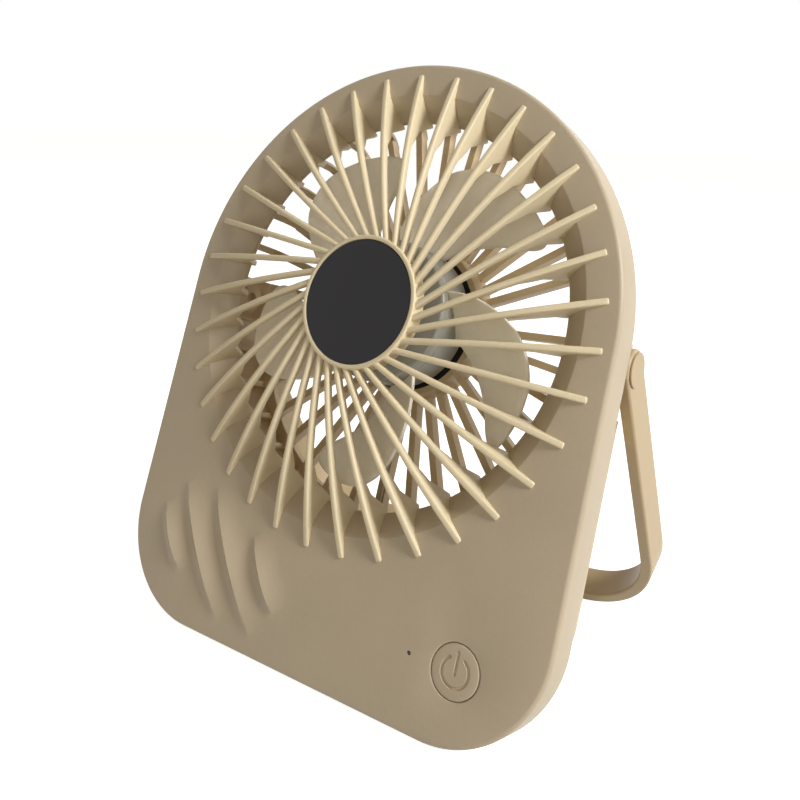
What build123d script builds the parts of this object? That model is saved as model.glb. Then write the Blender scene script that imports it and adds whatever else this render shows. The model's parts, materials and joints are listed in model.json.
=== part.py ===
"""Rechargeable desk fan with a swirl grille and a folding stand, in millimetres.

Every piece is drawn in the frame of the front face: u to the right, v up the face and w out of it,
counted from the fan's axis. The face leans back by the angle at which the lower edge of the casing
and the foot of the open stand touch the table together.
"""

import os
from math import atan2, cos, radians, sin, sqrt

from build123d import *

# Clearances and cuts
fit_gap = 0.15
press_gap = 0.02
running_gap = 0.05
moving_gap = 0.3
overrun = 1.0

# Casing
body_width = 150.0
body_depth = 30.0
rim_width = 9.7
chin_height = 41.7
front_depth = 11.0
corner_radius = 31.5
wall = 2.0
front_edge_radius = 1.2
foot_edge_radius = 0.8
rear_edge_radius = 6.5
flange_thickness = 1.8
tub_bottom_inset = 8.0

# Air opening and front grille
lip_reach = 7.1
lip_drop = 6.1
lip_bulge = 0.5
rib_count = 35
rib_width = 1.8
rib_depth = 4.2
rib_offset = 10.8
rib_first_angle = -53.9
rib_overrun = 5.7
rib_tip_rise = 0.5
barb_depth = 7.5
barb_reach = 4.0
barb_lead = 0.7
hub_radius = 19.5
hub_wall = 2.0
hub_height = 8.9
hub_depth = 5.3
hub_edge_radius = 0.4
hub_step = 0.45
badge_radius = 18.05
badge_thickness = 1.0
badge_sink = 0.2

# Wave relief, as shares of the half width and of the depth of the face below the axis
wave_height = 1.6
wave_root = 0.3
wave_steep_width = 5.0
wave_soft_width = 7.0
wave_sag_share = 0.42
wave_shares = (
    ((-0.84, 0.682), (-0.768, 0.785), (-0.667, 0.86)),
    ((-0.747, 0.603), (-0.613, 0.771), (-0.413, 0.944)),
    ((-0.573, 0.598), (-0.433, 0.776), (-0.227, 0.949)),
    ((-0.32, 0.687), (-0.248, 0.79), (-0.147, 0.869)),
)

# Rear grille and motor seat
rear_rib_width = 2.2
rear_rib_depth = 3.5
rear_rib_sink = 0.5
rear_rib_first_angle = 2.57
rear_rim = 0.4
vent_height = 16.0
vent_drop = 14.0
vent_pivot_gap = 6.5
chamber_inset = 3.0
chamber_gap = 0.4
chamber_root = 0.5
motor_cup_radius = 24.0
motor_cup_wall = 1.8
motor_cup_height = 9.5
tube_radius = 5.6
tube_setback = 5.0

# Stand
stand_thickness = 3.65
stand_band = 11.0
stand_gap = 0.5
stand_side_gap = 0.95
stand_open_angle = 46.6
pivot_drop = 3.0
pin_radius = 3.0
pin_thread_radius = 2.0
pin_head_radius = 4.8
pin_head_height = 0.5
pin_head_edge = 0.2
pin_length = 9.5
pivot_boss_radius = 4.6
washer_radius = 5.0

# Impeller and motor
blade_count = 5
blade_tip_gap = 5.2
blade_root_width = 20.0
blade_tip_width = 39.0
blade_tip_bulge = 5.0
blade_corner_radius = 9.0
blade_thickness = 1.6
blade_root_pitch = 33.0
blade_tip_pitch = 17.0
blade_first_angle = 45.0
rotor_radius = 21.5
rotor_wall = 2.2
rotor_front_share = 7 / 60
rotor_rear_share = 0.6
rotor_plate = 1.5
rotor_edge_radius = 1.2
rotor_boss_radius = 3.2
rotor_boss_length = 3.2
yoke_wall = 1.2
yoke_step = 0.5
magnet_wall = 2.4
magnet_length = 9.5
shaft_radius = 1.46
shaft_end_gap = 0.9
bearing_radius = 4.0
bearing_bore_radius = 1.5
bearing_length = 4.0
bearing_setback = 0.5
clip_radius = 3.0
clip_thickness = 0.5
tooth_count = 9
tooth_width = 2.4
tooth_tip_radius = 14.9
tooth_tip_thickness = 1.2
tooth_tip_share = 0.72
stator_height = 6.5
stator_setback = 6.5
stator_ring_wall = 2.0
coil_build = 1.1
coil_length = 4.6
motor_post_count = 3
motor_post_angle = 90.0
motor_board_thickness = 1.2
motor_board_rise = 4.9

# Button, light guide and control board
button_side_gap = 24.8
button_rise = 19.7
button_radius = 6.85
button_hole_radius = 7.1
button_flange_radius = 8.2
button_flange_thickness = 0.8
button_travel = 0.6
button_edge_radius = 0.3
button_stem_radius = 2.0
button_stem_length = 0.3
plunger_radius = 1.7
plunger_rise = 0.9
switch_size = 6.0
switch_height = 3.5
board_width = 28.0
board_height = 18.0
board_shift = 3.2
board_lift = 1.3
board_thickness = 1.2
board_inset = 3.0
post_radius = 2.2
board_screw_radius = 0.9
board_screw_head_radius = 1.9
board_screw_head = 1.2
board_screw_bite = 4.0
led_spacing = 14.1
led_drop = 0.1
led_hole_radius = 0.6
led_flange_radius = 1.3
led_flange_thickness = 1.0
led_size = 1.6
led_height = 0.8

# Case screws
screw_high_side_gap = 15.0
screw_high_rise = 61.0
screw_low_side_gap = 14.0
screw_low_rise = 37.0
screw_boss_radius = 3.2
screw_radius = 1.25
screw_head_radius = 2.4
screw_head = 2.0
screw_seat = 5.0
screw_bite = 5.5
snap_angles = (55.0, 125.0)
snap_width = 8.0
snap_reach = 0.65
snap_thickness = 1.0

# Charging
charge_gap = 17.0
charge_rise = 23.0
charge_board_width = 16.0
charge_depth_share = 14 / 19
rail_width = 3.0
rail_height = 4.0
socket_width = 8.94
socket_height = 3.26
socket_depth = 7.35
socket_sink = 0.2
socket_wall = 0.35
socket_corner = 1.5

# Battery
cell_radius = 9.15
cell_length_share = 13 / 30
cell_side_gap = 23.0
cell_rise = 20.5
cell_edge_radius = 0.8
cell_cap_radius = 3.0
cell_cap_height = 0.6
tab_width = 8.0
tab_height = 12.0
tab_thickness = 0.3
saddle_thickness = 2.0
saddle_half_width = 10.5
saddle_shares = (0.2, 0.8)
lead_radius = 0.75
motor_lead_radius = 1.0
lead_bend_radius = 1.5
lead_inset = 1.5
lead_spacing = 4.5
lead_cell_gap = 3.0
lead_turn_gap = 6.0
motor_lead_gap = 3.0

# Derived sizes in the frame of the face
half_width = body_width / 2
lip_radius = half_width - rim_width
duct_radius = lip_radius - lip_reach
rib_tip_radius = lip_radius + rib_overrun
body_bottom = -(lip_radius + chin_height)
tub_inset = stand_thickness + stand_side_gap
tub_corner_radius = corner_radius - tub_inset
floor_level = -body_depth + wall
flange_top = -front_depth + flange_thickness
pivot_v = -pivot_drop
pivot_w = -(front_depth + stand_gap + stand_band / 2)
stand_reach = pivot_v - body_bottom
cup_floor = -body_depth + wall + rear_rib_sink
rear_rib_front = -body_depth + rear_rib_sink + rear_rib_depth
rotor_front = -rotor_front_share * body_depth
rotor_rear = -rotor_rear_share * body_depth
tube_front = rotor_front - tube_setback
stator_front = rotor_front - stator_setback
motor_board_front = cup_floor + motor_board_rise
blade_tip_radius = duct_radius - blade_tip_gap
button_u = half_width - button_side_gap
button_v = body_bottom + button_rise
board_u = button_u - board_shift
board_v = button_v + board_lift
led_u = button_u - led_spacing
led_v = button_v - led_drop
screw_high_u = half_width - screw_high_side_gap
screw_high_v = body_bottom + screw_high_rise
screw_low_u = half_width - screw_low_side_gap
screw_low_v = body_bottom + screw_low_rise
cell_length = cell_length_share * body_width
cell_left_u = cell_side_gap - half_width
cell_right_u = cell_left_u + cell_length
cell_v = body_bottom + cell_rise
cell_w = (floor_level - wall) / 2
charge_u = cell_right_u + charge_gap
charge_v = body_bottom + charge_rise

# Lean of the body, from the two rounded edges that it stands on
open_angle = radians(stand_open_angle)
heel_reach = stand_reach - foot_edge_radius
heel_half_band = stand_band / 2 - foot_edge_radius
foot_v = body_bottom + foot_edge_radius
foot_w = -front_depth + foot_edge_radius
heel_v = pivot_v - heel_reach * cos(open_angle) - heel_half_band * sin(open_angle)
heel_w = pivot_w - heel_reach * sin(open_angle) + heel_half_band * cos(open_angle)
lean = atan2(heel_v - foot_v, foot_w - heel_w)

# Place of the fan's axis over the middle of the footprint
tail_v = pivot_v - heel_reach * cos(open_angle) + heel_half_band * sin(open_angle)
tail_w = pivot_w - heel_reach * sin(open_angle) - heel_half_band * cos(open_angle)
chin_v = body_bottom + front_edge_radius
front_reach = chin_v * sin(lean) + front_edge_radius * cos(lean) - front_edge_radius
rear_reach = tail_v * sin(lean) - tail_w * cos(lean) + foot_edge_radius
axis_y = -(front_reach + rear_reach) / 2
axis_z = foot_edge_radius - foot_v * cos(lean) - foot_w * sin(lean)

face = Plane(origin=(0, axis_y, axis_z), x_dir=(1, 0, 0), z_dir=(0, -cos(lean), sin(lean)))
axial = Plane(origin=face.origin, x_dir=face.x_dir, z_dir=-face.y_dir)
fan_axis = Axis(face.origin, face.z_dir)


def point(u, v, w):
    """A point given in the frame of the face."""
    return face.from_local_coords(Vector(u, v, w))


def level(w):
    """The plane parallel to the face at height w."""
    return face.offset(w)


def side_plane(u, v, w, sign):
    """A plane square to u at a point, looking outwards to the right or to the left."""
    return Plane(origin=point(u, v, w), x_dir=face.y_dir, z_dir=face.x_dir * sign)


def body_outline(plane, inset, bottom_inset, radius):
    """The arch-topped outline of the body, drawn in from its edge."""
    half = half_width - inset
    height = -(body_bottom + bottom_inset)
    with BuildSketch(plane) as outline:
        Circle(half)
        with Locations((0, -height / 2)):
            Rectangle(2 * half, height)
        fillet(outline.vertices().group_by(Axis.Y)[0], radius)
    return outline.sketch


def disc(plane, radius, amount, mode=Mode.ADD, bore=0):
    """Extrude a round disc, or a ring, from a plane."""
    with BuildSketch(plane) as ring:
        Circle(radius)
        if bore > 0:
            Circle(bore, mode=Mode.SUBTRACT)
    extrude(ring.sketch, amount=amount, mode=mode)


def discs(plane, places, radius, amount, mode=Mode.ADD):
    """Extrude several alike round discs from a plane."""
    with BuildSketch(plane) as rounds:
        with Locations(*places):
            Circle(radius)
    extrude(rounds.sketch, amount=amount, mode=mode)


def block(plane, place, width, height, amount, mode=Mode.ADD):
    """Extrude a rectangular block from a plane."""
    with BuildSketch(plane) as oblong:
        with Locations(place):
            Rectangle(width, height)
    extrude(oblong.sketch, amount=amount, mode=mode)


def snaps(base, reach, width, amount, mode=Mode.ADD):
    """Extrude the two snap tabs at the top of the flange, or the pockets that they spring into."""
    length = reach + flange_thickness
    middle = half_width - wall + reach - length / 2
    with BuildSketch(level(base)) as tabs:
        for angle in snap_angles:
            with PolarLocations(middle, 1, start_angle=angle):
                Rectangle(length, width)
    extrude(tabs.sketch, amount=amount, mode=mode)


def save(part, name):
    """Label a finished piece and write it."""
    part.label = name
    export_step(part, f"parts/{name}.step")


def along_rib(radius):
    """Distance along a grille rib at which it reaches a radius from the fan's axis."""
    return sqrt(radius * radius - rib_offset * rib_offset)


def lip_arc(depth):
    """Start, middle and end of the lip's profile, as radius and height, at a depth under its surface."""
    slope = atan2(lip_drop, lip_reach)
    start = (lip_radius + depth * sin(slope), -depth * cos(slope))
    end = (start[0] - lip_reach, start[1] - lip_drop)
    middle = (
        (start[0] + end[0]) / 2 - lip_bulge * sin(slope),
        (start[1] + end[1]) / 2 + lip_bulge * cos(slope),
    )
    return start, middle, end


screw_places = (
    (screw_high_u, screw_high_v),
    (-screw_high_u, screw_high_v),
    (screw_low_u, screw_low_v),
    (-screw_low_u, screw_low_v),
)
screw_shoulder = -front_depth - screw_seat
snap_base = -front_depth + (flange_thickness - snap_thickness) / 2
board_front = -wall - moving_gap - button_flange_thickness - button_stem_length - plunger_rise - switch_height
board_rear = board_front - board_thickness
charge_board_depth = charge_depth_share * (board_rear - floor_level)
board_places = (
    (board_u - board_width / 2 + board_inset, board_v - board_height / 2 + board_inset),
    (board_u + board_width / 2 - board_inset, board_v + board_height / 2 - board_inset),
)

os.makedirs("parts", exist_ok=True)

# One straight rib of the swirl grille, with the gusset that runs down the rolled lip
rib_angle = radians(rib_first_angle)
rib_direction = face.x_dir * cos(rib_angle) + face.y_dir * sin(rib_angle)
rib_plane = Plane(
    origin=point(rib_offset * sin(rib_angle), -rib_offset * cos(rib_angle), 0),
    x_dir=rib_direction,
    z_dir=rib_direction.cross(face.z_dir),
)
rib_hub_end = along_rib(hub_radius - hub_wall / 2)
rib_hub_top = hub_height - hub_step
rib_tip_end = along_rib(rib_tip_radius)
lip_places = [(along_rib(radius), height) for radius, height in lip_arc(wall / 2)]
barb_tip = along_rib(duct_radius - barb_lead)
barb_root = along_rib(duct_radius - barb_lead - barb_reach)
with BuildPart() as grille_rib:
    with BuildSketch(rib_plane):
        with BuildLine():
            top = TangentArc((rib_hub_end, rib_hub_top), (rib_tip_end, rib_tip_rise), tangent=(1, 0))
            Line(top @ 1, (rib_tip_end, -wall / 2))
            Line((rib_tip_end, -wall / 2), lip_places[0])
            ThreePointArc(*lip_places)
            Line(lip_places[-1], (barb_tip, -barb_depth))
            Line((barb_tip, -barb_depth), (barb_root, 0))
            Line((barb_root, 0), (rib_hub_end, rib_hub_top - rib_depth))
            Line((rib_hub_end, rib_hub_top - rib_depth), top @ 0)
        make_face()
    extrude(amount=rib_width / 2, both=True)

# Front casing: shallow arch-topped shell with its grille, hub ring and wave relief
with BuildPart() as front_casing:
    extrude(body_outline(level(-front_depth), 0, 0, corner_radius), amount=front_depth)
    fillet(front_casing.faces().sort_by(fan_axis)[-1].edges(), front_edge_radius)
    fillet(front_casing.faces().sort_by(fan_axis)[0].edges(), foot_edge_radius)
    cavity = body_outline(level(-front_depth), wall, wall, corner_radius - wall)
    extrude(cavity, amount=front_depth - wall, mode=Mode.SUBTRACT)
    disc(level(overrun), lip_radius, -(wall + 2 * overrun), Mode.SUBTRACT)
    with BuildSketch(axial):
        with BuildLine():
            surface = ThreePointArc(*lip_arc(0))
            underside = ThreePointArc(*lip_arc(wall))
            Line(surface @ 0, underside @ 0)
            Line(surface @ 1, underside @ 1)
        make_face()
    revolve(axis=fan_axis)
    add([grille_rib.part.rotate(fan_axis, k * 360 / rib_count) for k in range(rib_count)])
    disc(level(hub_height - hub_depth), hub_radius, hub_depth)
    hub_rim = front_casing.faces().sort_by(fan_axis)[-1].edges()
    fillet(hub_rim, hub_edge_radius)
    disc(level(hub_height), badge_radius + fit_gap, -(badge_sink + badge_thickness), Mode.SUBTRACT)
    disc(level(hub_height - hub_depth), hub_radius - hub_wall, hub_depth - 2 * hub_wall, Mode.SUBTRACT)
    for start, middle, end in wave_shares:
        crest = [(u * half_width, v * body_bottom) for u, v in (start, middle, end)]
        tail, tip = Vector(*crest[0]), Vector(*crest[2])
        run = (tip - tail).normalized()
        run_row = face.x_dir * run.X + face.y_dir * run.Y
        cut = Plane(
            origin=point(crest[1][0], crest[1][1], 0),
            x_dir=face.z_dir.cross(run_row),
            z_dir=run_row,
        )
        with BuildSketch(cut) as ridge:
            with BuildLine():
                steep = ThreePointArc(
                    (-wave_steep_width, 0),
                    (-wave_steep_width / 2, wave_height * wave_sag_share),
                    (0, wave_height),
                )
                soft = ThreePointArc(
                    (0, wave_height),
                    (wave_soft_width / 2, wave_height * wave_sag_share),
                    (wave_soft_width, 0),
                )
                Line(soft @ 1, (wave_soft_width, -wave_root))
                Line((wave_soft_width, -wave_root), (-wave_steep_width, -wave_root))
                Line((-wave_steep_width, -wave_root), steep @ 0)
            make_face()
        ends = [Vertex(*point(u, v, -wave_root)) for u, v in (crest[0], crest[2])]
        loft(sections=[ends[0], ridge.sketch.face(), ends[1]])
    discs(level(-wall), screw_places, screw_boss_radius, flange_top + press_gap + wall)
    snaps(
        snap_base - fit_gap,
        snap_reach + fit_gap,
        snap_width + 2 * fit_gap,
        snap_thickness + 2 * fit_gap,
        Mode.SUBTRACT,
    )
    discs(level(flange_top), screw_places, screw_radius + press_gap, screw_bite + fit_gap, Mode.SUBTRACT)
    discs(level(-wall), board_places, post_radius, board_front + wall)
    discs(level(board_front), board_places, board_screw_radius + press_gap, board_screw_bite, Mode.SUBTRACT)
    discs(level(overrun), [(button_u, button_v)], button_hole_radius, -(wall + 2 * overrun), Mode.SUBTRACT)
    discs(level(overrun), [(led_u, led_v)], led_hole_radius, -(wall + 2 * overrun), Mode.SUBTRACT)
save(front_casing.part, "front_casing")

# Badge: plain black disc in the recess of the hub
badge_front = hub_height - badge_sink
with BuildPart() as hub_badge:
    disc(level(badge_front - badge_thickness), badge_radius, badge_thickness)
    fillet(hub_badge.faces().sort_by(fan_axis)[-1].edges(), badge_sink)
save(hub_badge.part, "hub_badge")

# Rear casing: inset tub with the rear grille, the air chamber, the motor cup and the seats for what it holds
tub_half_width = half_width - tub_inset
chamber_radius = tub_half_width - chamber_inset
chamber_front = -wall - chamber_gap
rear_radius = tub_half_width - rear_edge_radius - rear_rim
vent_bottom = pivot_v - vent_drop
lead_notch = 2 * motor_lead_radius + 2 * moving_gap
rail_length = charge_board_depth - rail_width
socket_v = charge_v + board_thickness / 2 + socket_height / 2
with BuildPart() as rear_casing:
    tub = body_outline(level(-body_depth), tub_inset, tub_bottom_inset, tub_corner_radius)
    extrude(tub, amount=flange_top + body_depth)
    fillet(rear_casing.faces().sort_by(fan_axis)[0].edges(), rear_edge_radius)
    offset(amount=-wall, openings=rear_casing.faces().sort_by(fan_axis)[-1])
    flange_inset = wall + fit_gap
    extrude(
        body_outline(level(-front_depth), flange_inset, flange_inset, corner_radius - flange_inset),
        amount=flange_thickness,
    )
    mouth = body_outline(
        level(-front_depth), tub_inset + wall, tub_bottom_inset + wall, tub_corner_radius - wall
    )
    extrude(mouth, amount=flange_thickness, mode=Mode.SUBTRACT)
    snaps(snap_base, snap_reach, snap_width, snap_thickness)
    chamber_rear = floor_level - chamber_root
    with BuildSketch(level(chamber_rear)):
        Circle(chamber_radius + wall)
        Circle(chamber_radius, mode=Mode.SUBTRACT)
        with Locations((0, vent_bottom + half_width)):
            Rectangle(body_width, body_width, mode=Mode.SUBTRACT)
    extrude(amount=chamber_front - chamber_rear)
    disc(level(-body_depth), rear_radius, wall, Mode.SUBTRACT)
    with BuildSketch(level(-body_depth)):
        Circle(body_width)
        Circle(rear_radius, mode=Mode.SUBTRACT)
        with PolarLocations(half_width, rib_count, start_angle=rear_rib_first_angle):
            Rectangle(body_width, rear_rib_width, mode=Mode.SUBTRACT)
        with Locations((0, pivot_v)):
            Rectangle(2 * body_width, 2 * vent_pivot_gap, mode=Mode.SUBTRACT)
        with Locations((0, vent_bottom - half_width)):
            Rectangle(2 * body_width, body_width, mode=Mode.SUBTRACT)
    extrude(amount=vent_height, mode=Mode.SUBTRACT)
    with BuildSketch(level(-body_depth + rear_rib_sink)):
        bar_length = rear_radius + wall - motor_cup_radius + motor_cup_wall / 2
        bar_middle = motor_cup_radius - motor_cup_wall / 2 + bar_length / 2
        with PolarLocations(bar_middle, rib_count, start_angle=rear_rib_first_angle):
            Rectangle(bar_length, rear_rib_width)
    extrude(amount=rear_rib_depth)
    disc(level(-body_depth + rear_rib_sink), motor_cup_radius, motor_cup_height)
    cup_bore = motor_cup_radius - motor_cup_wall
    disc(level(cup_floor), cup_bore, motor_cup_height, Mode.SUBTRACT)
    disc(level(cup_floor), tube_radius, tube_front - cup_floor, bore=bearing_radius + press_gap)
    with BuildSketch(level(cup_floor)):
        with PolarLocations((cup_bore + tube_radius) / 2, motor_post_count, start_angle=motor_post_angle):
            Circle(post_radius)
    extrude(amount=motor_board_front - motor_board_thickness - cup_floor)
    for notch_radius in (motor_cup_radius - motor_cup_wall / 2, chamber_radius + wall / 2):
        block(
            level(rear_rib_front),
            (0, -notch_radius),
            lead_notch,
            wall + 2 * overrun,
            lead_notch,
            Mode.SUBTRACT,
        )
    discs(level(-body_depth + wall / 2), screw_places, screw_boss_radius, flange_top + body_depth - wall / 2)
    discs(
        level(-body_depth),
        screw_places,
        screw_head_radius + fit_gap,
        screw_shoulder + body_depth,
        Mode.SUBTRACT,
    )
    screw_hole = flange_top - screw_shoulder
    discs(level(screw_shoulder), screw_places, screw_radius + fit_gap, screw_hole, Mode.SUBTRACT)
    for share in saddle_shares:
        saddle_u = cell_left_u + share * cell_length
        block(
            level(floor_level),
            (saddle_u, cell_v),
            saddle_thickness,
            2 * saddle_half_width,
            cell_w - floor_level,
        )
    disc(side_plane(cell_left_u, cell_v, cell_w, 1), cell_radius + fit_gap, cell_length, Mode.SUBTRACT)
    for side in (-1, 1):
        rail_place = (charge_u + side * charge_board_width / 2, charge_v)
        block(level(floor_level), rail_place, rail_width, rail_height, rail_length)
        disc(
            side_plane(side * tub_half_width, pivot_v, pivot_w, -side),
            pivot_boss_radius,
            pin_length - stand_thickness,
        )
        disc(
            side_plane(side * tub_half_width, pivot_v, pivot_w, -side),
            pin_thread_radius + press_gap,
            pin_length - stand_thickness,
            Mode.SUBTRACT,
        )
    block(
        level(floor_level),
        (charge_u, charge_v),
        charge_board_width + 2 * fit_gap,
        board_thickness + 2 * fit_gap,
        charge_board_depth,
        Mode.SUBTRACT,
    )
    with BuildSketch(level(-body_depth)):
        with Locations((charge_u, socket_v)):
            RectangleRounded(socket_width + 2 * fit_gap, socket_height + 2 * fit_gap, socket_corner)
    extrude(amount=wall, mode=Mode.SUBTRACT)
save(rear_casing.part, "rear_casing")

# Stand: flat band bent to a U, with round ends on the pivots
stand_normal = face.z_dir * cos(open_angle) - face.y_dir * sin(open_angle)
stand_plane = Plane(origin=point(0, pivot_v, pivot_w), x_dir=face.x_dir, z_dir=stand_normal)
stand_inner = half_width - stand_thickness
with BuildPart() as stand:
    with BuildSketch(stand_plane.offset(-stand_band / 2)) as band:
        with Locations((0, -stand_reach / 2)):
            Rectangle(body_width, stand_reach)
        fillet(band.vertices().group_by(Axis.Y)[0], corner_radius)
        with BuildSketch(mode=Mode.SUBTRACT) as gap:
            with Locations((0, -(stand_reach - stand_thickness) / 2)):
                Rectangle(2 * stand_inner, stand_reach - stand_thickness)
            fillet(gap.vertices().group_by(Axis.Y)[0], corner_radius - stand_thickness)
    extrude(amount=stand_band)
    for side in (-1, 1):
        disc(side_plane(side * stand_inner, pivot_v, pivot_w, side), stand_band / 2, stand_thickness)
    fillet(stand.edges(), foot_edge_radius)
    for side in (-1, 1):
        disc(
            side_plane(side * stand_inner, pivot_v, pivot_w, side),
            pin_radius + running_gap,
            stand_thickness,
            Mode.SUBTRACT,
        )
save(stand.part, "stand")

# Pivot pins and friction washers, one on each side
for name, side in (("left", -1), ("right", 1)):
    head_u = half_width + fit_gap
    with BuildPart() as pivot_pin:
        disc(side_plane(side * head_u, pivot_v, pivot_w, side), pin_head_radius, pin_head_height)
        fillet(pivot_pin.faces().sort_by(Axis.X)[-1 if side > 0 else 0].edges(), pin_head_edge)
        disc(side_plane(side * head_u, pivot_v, pivot_w, -side), pin_radius, head_u - tub_half_width)
        disc(side_plane(side * head_u, pivot_v, pivot_w, -side), pin_thread_radius, pin_length)
    save(pivot_pin.part, f"{name}_pivot_pin")
    with BuildPart() as friction_washer:
        disc(
            side_plane(side * tub_half_width, pivot_v, pivot_w, side),
            washer_radius,
            stand_side_gap - moving_gap,
            bore=pin_radius + running_gap,
        )
    save(friction_washer.part, f"{name}_friction_washer")

# One blade: a twisted strip trimmed to the rounded petal outline
blade_middle = (rotor_front + rotor_rear) / 2
blade_root = rotor_radius - rotor_wall / 2
blade_shoulder = blade_tip_radius - blade_tip_bulge
with BuildPart() as blade:
    for radius, width, pitch in (
        (blade_root, blade_tip_width, blade_root_pitch),
        (blade_tip_radius + overrun, blade_tip_width, blade_tip_pitch),
    ):
        section = Plane(origin=point(radius, 0, blade_middle), x_dir=face.y_dir, z_dir=face.x_dir)
        with BuildSketch(section):
            Rectangle((width + 2 * overrun) / cos(radians(pitch)), blade_thickness, rotation=pitch)
    loft()
    with BuildSketch(level(rotor_rear)) as petal:
        with BuildLine():
            Line((blade_root, -blade_root_width / 2), (blade_shoulder, -blade_tip_width / 2))
            ThreePointArc(
                (blade_shoulder, -blade_tip_width / 2),
                (blade_tip_radius, 0),
                (blade_shoulder, blade_tip_width / 2),
            )
            Line((blade_shoulder, blade_tip_width / 2), (blade_root, blade_root_width / 2))
            Line((blade_root, blade_root_width / 2), (blade_root, -blade_root_width / 2))
        make_face()
        fillet(petal.vertices().group_by(Axis.X)[-1], blade_corner_radius)
    extrude(amount=rotor_front - rotor_rear, mode=Mode.INTERSECT)

# Impeller: cup-shaped hub with its blades
rotor_bore = rotor_radius - rotor_wall
rotor_plate_rear = rotor_front - rotor_plate
shaft_front = rotor_front - rotor_plate / 2
with BuildPart() as fan_impeller:
    disc(level(rotor_rear), rotor_radius, rotor_front - rotor_rear)
    fillet(fan_impeller.faces().sort_by(fan_axis)[-1].edges(), rotor_edge_radius)
    add([blade.part.rotate(fan_axis, blade_first_angle + k * 360 / blade_count) for k in range(blade_count)])
    disc(level(rotor_rear), rotor_bore, rotor_plate_rear - rotor_rear, Mode.SUBTRACT)
    disc(level(rotor_plate_rear), rotor_boss_radius, -rotor_boss_length)
    boss_end = rotor_plate_rear - rotor_boss_length
    disc(level(boss_end), shaft_radius + press_gap, shaft_front - boss_end, Mode.SUBTRACT)
save(fan_impeller.part, "fan_impeller")

# Turning half of the motor: steel yoke, magnet ring, shaft and its clip
yoke_radius = rotor_bore - press_gap
magnet_radius = yoke_radius - yoke_wall - press_gap
magnet_rear = rotor_rear + yoke_step
rear_bearing_rear = cup_floor + shaft_end_gap + 2 * clip_thickness + moving_gap
with BuildPart() as rotor_yoke:
    disc(level(magnet_rear), yoke_radius, rotor_plate_rear - magnet_rear, bore=yoke_radius - yoke_wall)
save(rotor_yoke.part, "rotor_yoke")
with BuildPart() as magnet_ring:
    disc(level(magnet_rear), magnet_radius, magnet_length, bore=magnet_radius - magnet_wall)
save(magnet_ring.part, "magnet_ring")
with BuildPart() as motor_shaft:
    disc(level(shaft_front), shaft_radius, cup_floor + shaft_end_gap - shaft_front)
save(motor_shaft.part, "motor_shaft")
with BuildPart() as shaft_clip:
    clip_front = rear_bearing_rear - moving_gap
    disc(level(clip_front), clip_radius, -clip_thickness, bore=shaft_radius + press_gap)
save(shaft_clip.part, "shaft_clip")

# Bearings in the tube of the rear casing
bearing_fronts = {
    "front_bearing": tube_front - bearing_setback,
    "rear_bearing": rear_bearing_rear + bearing_length,
}
for name, front in bearing_fronts.items():
    with BuildPart() as bearing:
        disc(level(front), bearing_radius, -bearing_length, bore=bearing_bore_radius)
    save(bearing.part, name)

# Stator core: ring and teeth on the bearing tube
stator_ring_radius = tube_radius + stator_ring_wall
tooth_length = tooth_tip_radius - tube_radius - stator_ring_wall / 2
tip_width = tooth_tip_share * tooth_tip_radius * radians(360 / tooth_count)
with BuildPart() as stator_core:
    with BuildSketch(level(stator_front)):
        Circle(stator_ring_radius)
        with PolarLocations(tooth_tip_radius - tooth_length / 2, tooth_count):
            Rectangle(tooth_length, tooth_width)
        with PolarLocations(tooth_tip_radius - tooth_tip_thickness / 2, tooth_count):
            Rectangle(tooth_tip_thickness, tip_width)
        Circle(tube_radius + press_gap, mode=Mode.SUBTRACT)
    extrude(amount=-stator_height)
save(stator_core.part, "stator_core")

# Windings: one coil round each tooth
coil_start = stator_ring_radius + fit_gap
coil_plane = Plane(
    origin=point(coil_start, 0, stator_front - stator_height / 2),
    x_dir=face.y_dir,
    z_dir=face.x_dir,
)
coil_hole_width = tooth_width + 2 * press_gap
coil_hole_height = stator_height + 2 * press_gap
with BuildPart() as coil:
    with BuildSketch(coil_plane):
        RectangleRounded(coil_hole_width + 2 * coil_build, coil_hole_height + 2 * coil_build, coil_build)
        Rectangle(coil_hole_width, coil_hole_height, mode=Mode.SUBTRACT)
    extrude(amount=coil_length)
with BuildPart() as stator_windings:
    add([coil.part.rotate(fan_axis, k * 360 / tooth_count) for k in range(tooth_count)])
save(stator_windings.part, "stator_windings")

# Driver board of the motor, on its posts in the cup
with BuildPart() as motor_board:
    disc(
        level(motor_board_front),
        cup_bore - fit_gap,
        -motor_board_thickness,
        bore=tube_radius + fit_gap,
    )
save(motor_board.part, "motor_board")

# Power button with its flange and stem
flange_front = -wall - moving_gap
flange_rear = flange_front - button_flange_thickness
stem_rear = flange_rear - button_stem_length
with BuildPart() as power_button:
    discs(level(flange_front), [(button_u, button_v)], button_radius, -flange_front)
    fillet(power_button.faces().sort_by(fan_axis)[-1].edges(), button_edge_radius)
    discs(level(flange_front), [(button_u, button_v)], button_flange_radius, -button_flange_thickness)
    discs(level(flange_rear), [(button_u, button_v)], button_stem_radius, -button_stem_length)
save(power_button.part, "power_button")

# Push switch under the button, and its plunger
switch_front = board_front + switch_height
well_depth = plunger_rise + button_travel
with BuildPart() as tact_switch:
    block(level(board_front), (button_u, button_v), switch_size, switch_size, switch_height)
    discs(level(switch_front), [(button_u, button_v)], plunger_radius + fit_gap, -well_depth, Mode.SUBTRACT)
save(tact_switch.part, "tact_switch")
with BuildPart() as switch_plunger:
    discs(level(stem_rear), [(button_u, button_v)], plunger_radius, -(plunger_rise + button_travel))
save(switch_plunger.part, "switch_plunger")

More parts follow.
